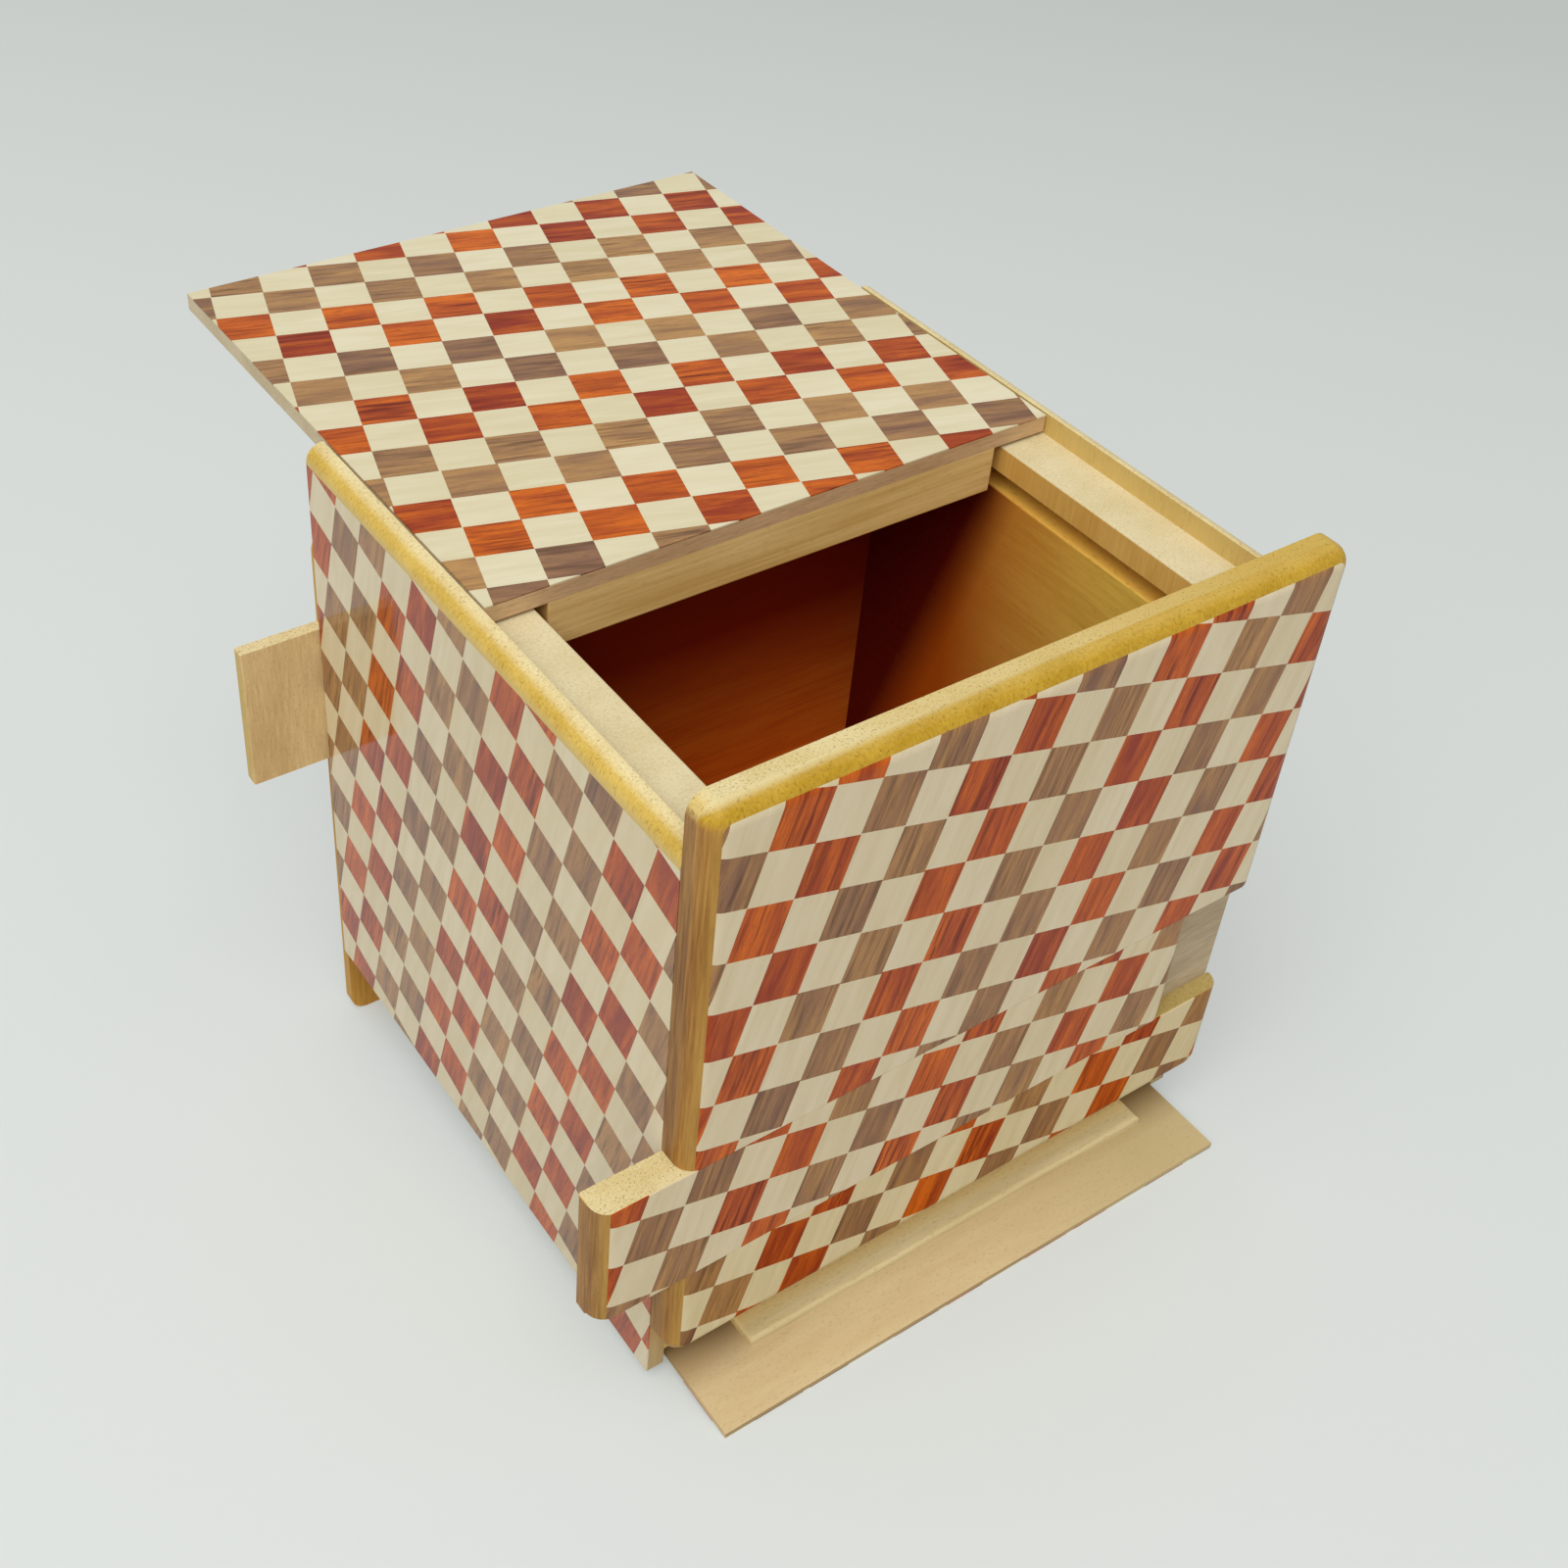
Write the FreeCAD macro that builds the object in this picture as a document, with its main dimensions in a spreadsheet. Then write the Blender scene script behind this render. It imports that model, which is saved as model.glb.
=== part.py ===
import FreeCAD, Part
import os
import Sketcher

# Trick-opening wooden box with check marquetry, part way through being opened.
# X runs to the right along the front, Y to the back and Z up, in millimetres.
# The origin is on the bottom face, under the middle of the side panels.
# The front panel is up, the bottom panel forward, the back panel down, both keys
# are drawn to the left, and the lid is slid back over the lowered back panel.

doc = FreeCAD.newDocument("puzzle_box")
sheet = doc.addObject("Spreadsheet::Sheet", "dims")

# Driving dimensions
drivers = [
    # Box and side panels
    ("width", 121),
    ("side_length", 113),
    ("height", 121),
    ("veneer", 0.25),
    ("side_board", 3.15),
    ("rim_round", 3.3),
    ("rim_flat", 0.2),
    ("edge_round", 0.4),
    ("round_margin", 0.1),
    # Inner box
    ("side_wall", 8.6),
    ("front_end_wall", 5),
    ("back_end_wall", 15.1),
    ("floor_board", 3),
    ("guide_space", 6.2),
    # Rails and grooves
    ("rail_width", 9.6),
    ("rail_thickness", 5.1),
    ("groove_height", 4.5),
    # Lid
    ("lid_board", 3.05),
    ("lid_gap", 0.7),
    ("lid_side_gap", 0.5),
    ("lid_end_gap", 0.5),
    ("block_side_gap", 2),
    ("block_foot_gap", 1.2),
    ("lid_slide", 58.7),
    ("lid_tongue_setback", 10),
    ("lid_stop_length", 8.5),
    # Bottom panel
    ("bottom_board", 1.05),
    ("bottom_side_gap", 0.9),
    ("bottom_gap", 2.7),
    ("lip_height", 1.6),
    ("lip_round", 0.7),
    ("lip_setback", 11),
    ("lip_shift", 2.1),
    ("core_front_gap", 1.5),
    ("core_back_setback", 7),
    ("bottom_slide", 17.7),
    ("bottom_tongue_length", 35),
    ("bottom_stop_length", 7.5),
    # Fit of the tongues in their grooves
    ("tongue_side_gap", 1.1),
    ("tongue_gap", 0.5),
    ("stop_gap", 0.3),
    # End panels
    ("end_foot_gap", 0.25),
    ("end_top_gap", 0.25),
    ("end_gap", 0.15),
    ("backing", 2.6),
    ("face_board", 3.15),
    ("end_round", 3.3),
    ("corner_margin", 0.3),
    ("back_inset", 0.8),
    ("back_face_inset", 1.6),
    ("front_lower", 22.1),
    ("back_lower", 23),
    ("front_lift", 10.5),
    ("back_drop", 19.35),
    # Keys
    ("key_height", 26.5),
    ("key_gap", 0.1),
    ("front_tongue_extra", 1),
    ("tongue_extra", 4.1),
    ("bridge_length", 13.6),
    ("bridge_inset", 0.8),
    ("bridge_gap", 0.3),
    ("front_key_slide", 14.7),
    ("back_key_slide", 15.9),
    ("guard_side_gap", 5.6),
    ("guard_grip", 8),
    ("guard_lap", 4.5),
    ("guard_thickness", 2.6),
    # Locks and guides
    ("tooth_side_gap", 2.7),
    ("tooth_height", 4),
    ("tooth_setback", 2),
    ("lock_gap", 0.5),
    ("keeper_width", 6.8),
    ("keeper_thickness", 2.6),
    ("guide_gap", 0.3),
    ("runner_web", 3.1),
    ("runner_side_gap", 1.6),
    ("runner_start", 6),
]
for row, (alias, value) in enumerate(drivers, 1):
    sheet.set(f"A{row}", alias)
    sheet.set(f"B{row}", str(value))
    sheet.setAlias(f"B{row}", alias)
doc.recompute()

# Sizes that follow from them
half_width = "(dims.width / 2)"
half_length = "(dims.side_length / 2)"
side_thickness = "(dims.side_board + dims.veneer)"
face_thickness = "(dims.face_board + dims.veneer)"
rim_radius = f"min(dims.rim_round; {side_thickness} - dims.round_margin)"
end_radius = f"min(dims.end_round; {face_thickness} - dims.round_margin)"
corner_radius = f"({end_radius} + dims.corner_margin)"
lip_radius = "min(dims.lip_round; dims.lip_height - dims.round_margin)"
tongue_height = "(dims.groove_height - 2 * dims.tongue_gap)"
end_height = "(dims.height - dims.end_foot_gap - dims.end_top_gap)"

# Planes that several pieces share, measured from the origin
inner_x = f"({half_width} - {side_thickness})"
rail_x = f"({inner_x} - dims.rail_width)"
wall_x = f"({inner_x} - dims.side_wall)"
block_x = f"({rail_x} - dims.block_side_gap)"
lid_x = f"({inner_x} - dims.lid_side_gap)"
bottom_x = f"({inner_x} - dims.bottom_side_gap)"
wall_y = f"({half_length} - dims.guide_space)"
cavity_ends = {end: f"({wall_y} - dims.{end}_end_wall)" for end in ("front", "back")}
end_inner = f"({half_length} + dims.end_gap)"
face_start = f"({end_inner} + dims.backing)"
lid_length = "(dims.side_length - 2 * dims.lid_end_gap)"
veneer_top = f"(dims.height - {rim_radius} - dims.rim_flat)"
lid_under = "(dims.height - dims.veneer - dims.lid_board)"
rail_top = f"({lid_under} - dims.lid_gap)"
groove_top = f"({rail_top} - dims.rail_thickness)"
wall_top = f"({groove_top} - dims.groove_height)"
block_foot = f"({wall_top} + dims.block_foot_gap)"
plate_top = "(dims.veneer + dims.bottom_board)"
low_rail = f"({plate_top} + dims.bottom_gap)"
low_groove = f"({low_rail} + dims.rail_thickness)"
wall_foot = f"({low_groove} + dims.groove_height)"
wall_height = f"({wall_top} - {wall_foot})"

tolerance = 1e-6
nodes = []


def keep(solid):
    nodes.append(solid)
    return solid


def place(solid, low):
    for axis, formula in zip("xyz", low):
        solid.setExpression(f"Placement.Base.{axis}", formula)


def box(name, low, size):
    solid = doc.addObject("Part::Box", name)
    solid.Label = name
    for side, formula in zip(("Length", "Width", "Height"), size):
        solid.setExpression(side, formula)
    place(solid, low)
    return solid


def combine(name, kind, first, second):
    solid = doc.addObject(kind, name)
    solid.Label = name
    solid.Base = first
    solid.Tool = second
    return solid


def pair(name, solids):
    both = doc.addObject("Part::Compound", name)
    both.Label = name
    both.Links = solids
    return both


def edge_names(shape, wanted):
    # An edge is named by the two faces it joins, such as ("+x", "-y").
    frame = shape.BoundBox
    planes = {"-x": frame.XMin, "+x": frame.XMax, "-y": frame.YMin, "+y": frame.YMax}
    planes.update({"-z": frame.ZMin, "+z": frame.ZMax})
    names = []
    for number, edge in enumerate(shape.Edges, 1):
        for faces in wanted:
            gaps = [getattr(end.Point, face[1]) - planes[face] for end in edge.Vertexes for face in faces]
            if max(abs(gap) for gap in gaps) < tolerance:
                names.append(f"Edge{number}")
    return names


def board(name, low, size, *roundings):
    # A sawn board: a padded rectangle, with one set of edges after another rounded over.
    body = doc.addObject("PartDesign::Body", name)
    body.Label = name
    outline = body.newObject("Sketcher::SketchObject", f"{name}_outline")
    ground = [plane for plane in body.Origin.OriginFeatures if plane.Role == "XY_Plane"]
    outline.AttachmentSupport = (ground[0], "")
    outline.MapMode = "FlatFace"
    square = [FreeCAD.Vector(x, y, 0) for x, y in ((0, 0), (1, 0), (1, 1), (0, 1))]
    for start, end in zip(square, square[1:] + square[:1]):
        outline.addGeometry(Part.LineSegment(start, end))
    for line in range(4):
        outline.addConstraint(Sketcher.Constraint("Coincident", line, 2, (line + 1) % 4, 1))
        outline.addConstraint(Sketcher.Constraint("Vertical" if line % 2 else "Horizontal", line))
    outline.addConstraint(Sketcher.Constraint("Coincident", 0, 1, -1, 1))
    across = outline.addConstraint(Sketcher.Constraint("DistanceX", 0, 1, 0, 2, 1))
    along = outline.addConstraint(Sketcher.Constraint("DistanceY", 1, 1, 1, 2, 1))
    outline.setExpression(f"Constraints[{across}]", size[0])
    outline.setExpression(f"Constraints[{along}]", size[1])
    pad = body.newObject("PartDesign::Pad", f"{name}_pad")
    pad.Profile = outline
    pad.setExpression("Length", size[2])
    shaped = pad
    for number, (rounded, radius) in enumerate(roundings, 1):
        doc.recompute()
        rounding = body.newObject("PartDesign::Fillet", f"{name}_rounding_{number}")
        rounding.Base = (shaped, edge_names(shaped.Shape, rounded))
        rounding.setExpression("Radius", radius)
        shaped = rounding
    body.Tip = shaped
    place(body, low)
    return body


def out_from(sign, start, thickness):
    # Low corner of a layer that starts at a distance from the middle, to either side.
    return start if sign > 0 else f"-({start} + {thickness})"


# Side panels: a board with a quarter-round rim, let in for the marquetry below it
for side, sign in (("left", -1), ("right", 1)):
    panel_low = (out_from(sign, inner_x, side_thickness), f"-{half_length}", "0")
    panel_size = (side_thickness, "dims.side_length", "dims.height")
    rim = ("+x" if sign > 0 else "-x", "+z")
    blank = board(f"{side}_blank", panel_low, panel_size, ([rim], rim_radius))
    veneer_x = out_from(sign, f"({inner_x} + dims.side_board)", "dims.veneer")
    veneer_size = ("dims.veneer", "dims.side_length", veneer_top)
    veneer = keep(box(f"{side}_veneer", (veneer_x, f"-{half_length}", "0"), veneer_size))
    keep(combine(f"{side}_panel", "Part::Cut", blank, veneer))

    # Wall of the inner box, and the rails above and below it
    inner_edge = ([("-x" if sign > 0 else "+x", "+z")], "dims.edge_round")
    wall_low = (out_from(sign, wall_x, "dims.side_wall"), f"-{wall_y}", wall_foot)
    wall_size = ("dims.side_wall", f"2 * {wall_y}", wall_height)
    keep(board(f"{side}_wall", wall_low, wall_size, inner_edge))
    for level, foot in (("top", groove_top), ("bottom", low_rail)):
        rail_low = (out_from(sign, rail_x, "dims.rail_width"), f"-{half_length}", foot)
        rail_size = ("dims.rail_width", "dims.side_length", "dims.rail_thickness")
        keep(board(f"{level}_rail_{side}", rail_low, rail_size, inner_edge))

# End walls and floor of the inner box
for end, sign in (("front", -1), ("back", 1)):
    wall_thickness = f"dims.{end}_end_wall"
    wall_low = (f"-{wall_x}", out_from(sign, cavity_ends[end], wall_thickness), wall_foot)
    keep(box(f"{end}_wall", wall_low, (f"2 * {wall_x}", wall_thickness, wall_height)))
floor_size = (f"2 * {wall_x}", f"{cavity_ends['front']} + {cavity_ends['back']}", "dims.floor_board")
keep(box("cavity_floor", (f"-{wall_x}", f"-{cavity_ends['front']}", wall_foot), floor_size))

# Lid: a veneered plate over a block that runs between the rails
lid_front = f"(dims.lid_slide - {lid_length} / 2)"
lid_size = (f"2 * {lid_x}", lid_length)
keep(box("lid_veneer", (f"-{lid_x}", lid_front, "dims.height - dims.veneer"), (*lid_size, "dims.veneer")))
keep(box("lid_plate", (f"-{lid_x}", lid_front, lid_under), (*lid_size, "dims.lid_board")))
block_size = (f"2 * {block_x}", lid_length, f"{lid_under} - {block_foot}")
block_edges = ([("-y", "-z"), ("-y", "-x"), ("-y", "+x")], "dims.edge_round")
keep(board("lid_block", (f"-{block_x}", lid_front, block_foot), block_size, block_edges))

# Bottom panel: the same from below, thinner, with a low lip in front of its core
plate_front = f"(-{lid_length} / 2 - dims.bottom_slide)"
plate_size = (f"2 * {bottom_x}", lid_length)
keep(box("bottom_veneer", (f"-{bottom_x}", plate_front, "0"), (*plate_size, "dims.veneer")))
keep(box("bottom_plate", (f"-{bottom_x}", plate_front, "dims.veneer"), (*plate_size, "dims.bottom_board")))
core_front = f"(dims.core_front_gap - {half_length})"
lip_front = f"({plate_front} + dims.lip_setback)"
lip_size = (f"2 * {block_x}", f"{core_front} - {lip_front}", "dims.lip_height")
lip_edges = ([("-y", "+z"), ("-x", "+z"), ("+x", "+z")], lip_radius)
lip_low = (f"dims.lip_shift - {block_x}", lip_front, plate_top)
keep(board("bottom_lip", lip_low, lip_size, lip_edges))
core_length = f"({plate_front} + {lid_length} - dims.core_back_setback - {core_front})"
core_size = (f"2 * {block_x}", core_length, f"{wall_foot} - dims.tongue_gap - {plate_top}")
core_low = (f"-{block_x}", core_front, plate_top)
keep(board("bottom_core", core_low, core_size, ([("-y", "+z")], lip_radius)))

# Tongues of both, which run in the grooves, and the blocks that end their travel
tongue_width = f"({inner_x} - dims.tongue_side_gap - {block_x})"
lid_stop_y = f"({half_length} - dims.lid_stop_length)"
lid_tongue_y = f"({lid_front} + dims.lid_tongue_setback)"
lid_tongue_length = f"({lid_stop_y} - dims.stop_gap - {lid_tongue_y})"
bottom_tongue_y = f"(dims.bottom_stop_length + dims.stop_gap - {half_length})"
runs = {
    "lid": (wall_top, lid_tongue_y, lid_tongue_length, lid_stop_y),
    "bottom": (low_groove, bottom_tongue_y, "dims.bottom_tongue_length", f"-{half_length}"),
}
for panel, (groove_foot, tongue_y, tongue_length, stop_y) in runs.items():
    tongue_z = f"{groove_foot} + dims.tongue_gap"
    tongue_size = (tongue_width, tongue_length, tongue_height)
    stop_size = ("dims.rail_width", f"dims.{panel}_stop_length", "dims.groove_height")
    stops = []
    for side, sign in (("left", -1), ("right", 1)):
        tongue_x = out_from(sign, block_x, tongue_width)
        keep(box(f"{panel}_tongue_{side}", (tongue_x, tongue_y, tongue_z), tongue_size))
        stop_x = out_from(sign, rail_x, "dims.rail_width")
        stops.append(box(f"{panel}_stop_{side}", (stop_x, stop_y, groove_foot), stop_size))
    keep(pair(f"{panel}_stops", stops))


def on_panel(sign, foot, start, length):
    # Low corner of a stretch of an end panel's height. The back panel is the front one
    # turned upside down, so heights run up from the foot in front and down from it behind.
    return f"{foot} + {start}" if sign < 0 else f"{foot} - {start} - {length}"


def layered(name, sign, half, slide, low_z, height, *roundings):
    # A piece of an end panel's outside: marquetry on a face board, rounded over together.
    low_x = f"-{half} - {slide}"
    low = (low_x, out_from(sign, face_start, face_thickness), low_z)
    blank = board(f"{name}_blank", low, (f"2 * {half}", face_thickness, height), *roundings)
    skin_y = out_from(sign, f"({face_start} + dims.face_board)", "dims.veneer")
    skin = box(f"{name}_skin", (low_x, skin_y, low_z), (f"2 * {half}", "dims.veneer", height))
    keep(combine(f"{name}_veneer", "Part::Common", blank, skin))
    keep(combine(f"{name}_face", "Part::Cut", blank, skin))


# End panels, each with its key
closed_feet = {"front": "dims.end_foot_gap", "back": f"(dims.end_foot_gap + {end_height})"}
rest_feet = {
    "front": f"({closed_feet['front']} + dims.front_lift)",
    "back": f"({closed_feet['back']} - dims.back_drop)",
}
# The front panel is flush with the sides, and the back panel is set in from them
backing_halves = {"front": half_width, "back": f"({half_width} - dims.back_inset)"}
face_halves = {"front": half_width, "back": f"({half_width} - dims.back_face_inset)"}
# Each key's tongue laps behind the narrow piece, further at the back
tongue_extras = {"front": "dims.front_tongue_extra", "back": "dims.tongue_extra"}
for end, sign in (("front", -1), ("back", 1)):
    foot = rest_feet[end]
    backing_x, face_x = backing_halves[end], face_halves[end]
    lower = f"dims.{end}_lower"
    key_slide = f"dims.{end}_key_slide"
    key_top = f"({lower} + dims.key_height)"
    upper = f"({end_height} - {key_top})"
    tongue_foot = f"({lower} - {tongue_extras[end]})"
    slot = f"({key_top} - {tongue_foot})"
    outer, inner = ("-y", "+y") if sign < 0 else ("+y", "-y")
    far, near = ("+z", "-z") if sign < 0 else ("-z", "+z")
    ends = [(outer, "-x"), (outer, "+x")]

    # Outer pieces
    upper_z = on_panel(sign, foot, key_top, upper)
    far_corners = ([(far, "-x"), (far, "+x")], corner_radius)
    far_edges = (ends + [(outer, far)], end_radius)
    layered(f"{end}_upper", sign, face_x, "0", upper_z, upper, far_corners, far_edges)
    lower_z = on_panel(sign, foot, "0", lower)
    near_corners = ([(near, "-x"), (near, "+x")], corner_radius)
    near_edges = (ends + [(outer, near)], end_radius)
    layered(f"{end}_lower", sign, face_x, "0", lower_z, lower, near_corners, near_edges)
    band = "(dims.key_height - 2 * dims.key_gap)"
    band_z = on_panel(sign, foot, f"({lower} + dims.key_gap)", band)
    layered(f"{end}_key", sign, face_x, key_slide, band_z, band, (ends, end_radius))

    # Backing boards above and below the key's tongue, and the bridge at its right
    backing_y = out_from(sign, end_inner, "dims.backing")
    stretches = {"lower": ("0", tongue_foot, near_corners), "upper": (key_top, upper, far_corners)}
    for part, (start, length, corners) in stretches.items():
        backing_low = (f"-{backing_x}", backing_y, on_panel(sign, foot, start, length))
        backing_size = (f"2 * {backing_x}", "dims.backing", length)
        keep(board(f"{end}_backing_{part}", backing_low, backing_size, corners))
    bridge_x = f"({backing_x} - dims.bridge_inset - dims.bridge_length)"
    bridge_low = (bridge_x, backing_y, on_panel(sign, foot, tongue_foot, slot))
    keep(box(f"{end}_backing_bridge", bridge_low, ("dims.bridge_length", "dims.backing", slot)))

    # Key's tongue, which fills the slot up to the bridge when the key is home
    tab = f"({slot} - 2 * dims.key_gap)"
    tab_z = on_panel(sign, foot, f"({tongue_foot} + dims.key_gap)", tab)
    tab_low = (f"-{backing_x} - {key_slide}", backing_y, tab_z)
    tab_size = (f"{backing_x} + {bridge_x} - dims.bridge_gap", "dims.backing", tab)
    tab_edges = ([("-x", "+z"), ("-x", "-z"), ("-x", inner)], "dims.edge_round")
    keep(board(f"{end}_key_tongue", tab_low, tab_size, tab_edges))

    # Key's keeper: a strip on the tongue that laps behind the upper backing board
    keeper_x = f"({inner_x} - dims.keeper_width)"
    guard_half = f"({keeper_x} - {key_slide} - dims.guard_side_gap)"
    guard_x = f"-{guard_half} - {key_slide}"
    guard_start = f"({end_inner} - dims.guard_thickness)"
    grip = "(dims.guard_grip - dims.key_gap)"
    grip_z = on_panel(sign, foot, f"({key_top} - dims.guard_grip)", grip)
    grip_low = (guard_x, out_from(sign, guard_start, "dims.guard_thickness"), grip_z)
    grip_box = box(f"{end}_guard_grip", grip_low, (f"2 * {guard_half}", "dims.guard_thickness", grip))
    lap = "(dims.guard_lap + dims.key_gap)"
    lap_z = on_panel(sign, foot, f"({key_top} - dims.key_gap)", lap)
    lap_thickness = "(dims.guard_thickness - dims.guide_gap)"
    lap_low = (guard_x, out_from(sign, guard_start, lap_thickness), lap_z)
    lap_box = box(f"{end}_guard_lap", lap_low, (f"2 * {guard_half}", lap_thickness, lap))
    keep(combine(f"{end}_key_keeper", "Part::Fuse", grip_box, lap_box))

    # Lock: a tooth on the key meets a stop on the end wall while the box is closed
    tooth_width = f"({key_slide} - dims.tooth_side_gap)"
    tooth_reach = f"({end_inner} - {wall_y} - dims.lock_gap)"
    tooth_start = f"({lower} + dims.tooth_setback)"
    tooth_size = (tooth_width, tooth_reach, "dims.tooth_height")
    tooth_y = out_from(sign, f"({wall_y} + dims.lock_gap)", tooth_reach)
    tooth_z = on_panel(sign, foot, tooth_start, "dims.tooth_height")
    keep(box(f"{end}_key_tooth", (f"-{tooth_width} / 2 - {key_slide}", tooth_y, tooth_z), tooth_size))
    stop_start = f"({tooth_start} + dims.tooth_height + dims.lock_gap)"
    stop_z = on_panel(sign, closed_feet[end], stop_start, "dims.tooth_height")
    stop_low = (f"-{tooth_width} / 2", out_from(sign, wall_y, tooth_reach), stop_z)
    keep(box(f"{end}_lock_stop", stop_low, tooth_size))

    # Upright keepers on the frame, and the panel's runners hooked behind them
    keeper_y = f"({half_length} - dims.keeper_thickness)"
    runner_x = f"({keeper_x} - dims.guide_gap)"
    web_x = f"({runner_x} - dims.runner_web)"
    web_y = f"({wall_y} + dims.tongue_gap)"
    web_reach = f"({end_inner} - {web_y})"
    hook_width = f"({inner_x} - dims.runner_side_gap - {runner_x})"
    hook_reach = f"({keeper_y} - dims.guide_gap - {web_y})"
    runner_foot = f"({key_top} + dims.runner_start)"
    keeper_end = f"{wall_top} - {foot}" if sign < 0 else f"{foot} - {wall_foot}"
    runner = f"({keeper_end} - {runner_foot})"
    runner_z = on_panel(sign, foot, runner_foot, runner)
    keepers = []
    for side, hand in (("left", -1), ("right", 1)):
        keeper_low_x = out_from(hand, keeper_x, "dims.keeper_width")
        keeper_low = (keeper_low_x, out_from(sign, keeper_y, "dims.keeper_thickness"), wall_foot)
        keeper_size = ("dims.keeper_width", "dims.keeper_thickness", wall_height)
        keepers.append(box(f"{end}_keeper_{side}", keeper_low, keeper_size))
        web_low = (out_from(hand, web_x, "dims.runner_web"), out_from(sign, web_y, web_reach), runner_z)
        web = box(f"{end}_web_{side}", web_low, ("dims.runner_web", web_reach, runner))
        hook_low = (out_from(hand, runner_x, hook_width), out_from(sign, web_y, hook_reach), runner_z)
        hook = box(f"{end}_hook_{side}", hook_low, (hook_width, hook_reach, runner))
        keep(combine(f"{end}_runner_{side}", "Part::Fuse", web, hook))
    keep(pair(f"{end}_keepers", keepers))

doc.recompute()
for item in doc.Objects:
    if {"Invalid", "Error"} & set(item.State):
        raise RuntimeError(f"{item.Label} did not build: {item.State}")
for solid in nodes:
    if solid.Shape.isNull() or not solid.Shape.isValid():
        raise RuntimeError(f"{solid.Label} has no valid shape")

os.makedirs("parts", exist_ok=True)
for solid in nodes:
    solid.Shape.exportStep(f"parts/{solid.Label}.step")
print(len(nodes), "nodes written")
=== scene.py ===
import math
import bmesh
import bpy
from mathutils import Matrix, Vector


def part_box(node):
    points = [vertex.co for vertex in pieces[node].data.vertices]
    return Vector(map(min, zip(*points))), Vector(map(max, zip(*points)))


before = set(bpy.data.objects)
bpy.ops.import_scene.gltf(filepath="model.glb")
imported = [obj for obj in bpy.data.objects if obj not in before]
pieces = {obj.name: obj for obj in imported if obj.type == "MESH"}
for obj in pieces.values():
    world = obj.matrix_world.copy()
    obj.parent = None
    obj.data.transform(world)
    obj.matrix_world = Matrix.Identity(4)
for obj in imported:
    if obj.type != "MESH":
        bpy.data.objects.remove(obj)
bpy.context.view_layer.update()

mm = 0.001
noiseRange = (0.3, 0.7)    # most of a noise's values
print("frame loaded:", len(pieces), "pieces")


# sRGB to linear, by the standard's own curve
def toLinear(hexColour):
    parts = [int(hexColour[i:i + 2], 16) / 255 for i in (1, 3, 5)]
    return [p / 12.92 if p <= 0.04045 else ((p + 0.055) / 1.055) ** 2.4 for p in parts] + [1.0]


# Adds one shader node. A node given as an input is linked from its first live output. Sockets go by
# name or number: a Map Range has its range at 1 and 2 and its result at 3 and 4, and a colour Mix
# has its factor at 0 and its colours at 6 and 7.
def addNode(tree, kind, inputs, **settings):
    node = tree.nodes.new("ShaderNode" + kind)
    for name, value in settings.items():
        setattr(node, name, value)
    for key, value in inputs.items():
        socket = node.inputs[key]
        if isinstance(value, bpy.types.Node):
            value = next(out for out in value.outputs if out.enabled)
        if isinstance(value, bpy.types.NodeSocket):
            tree.links.new(value, socket)
        else:
            socket.default_value = value
    return node


def newMaterial(name):
    material = bpy.data.materials.new(name)
    material.use_nodes = True
    material.node_tree.nodes.clear()
    return material, material.node_tree


def dress(material, names):
    for name in names:
        for slot in pieces[name].material_slots:
            slot.material = material


# Check marquetry: a sheet of cream, padauk and walnut rods planed to a veneer and lacquered.
# The eye sees crisp cells, grain that runs the same way in all of them, and a thin satin film.
checkSheet = {
    "cell": (9.55, 8.36),            # mm along and across the grain
    "rowsAlike": 2,                  # rows with padauk, then as many with walnut
    "stripWander": 0.02,             # how far strips miss each other, in cells
    "grain": {                       # mm long and wide, then the noise's detail and wobble
        "band": (18.0, 2.4, 2.0, 0.6),      # broad light and dark bands
        "streak": (13.0, 0.8, 3.0, 0.5),    # dark lines
        "pore": (1.8, 0.24, 1.0, 0.0)},     # short pores, coarser than real ones to show at all
    "woods": {                       # two ends of its range, the lines, and how well they show
        "cream": ("#D9CEA7", "#E4DBBB", "#CBBC90", 0.16),
        "padauk": ("#943216", "#D86C16", "#641A06", 1.0),
        "walnut": ("#86624C", "#BA8E58", "#503626", 0.75)},
    "spread": 0.45,                  # how far cells of one wood differ
    "bandTone": (0.1, 0.9),          # how far the bands go within a cell
    "lineStart": (0.48, 0.66),       # noise at which a line begins and is full
    "lineStrength": (0.3, 0.9),      # weakest and strongest cell
    "poreStart": (0.58, 0.76), "poreStrength": 0.55,
    "fineness": 0.55,                # how much the noise's finer layers count
    "bump": (0.1, 0.03),             # strength, and depth in mm
    "rowSeed": 0.37, "cellSeed": 0.5, "cellDepth": 60.0,    # places in the noises
    "ior": 1.5, "roughness": (0.30, 0.44), "gloss": 0.18, "coatRoughness": 0.1,
}

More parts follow.
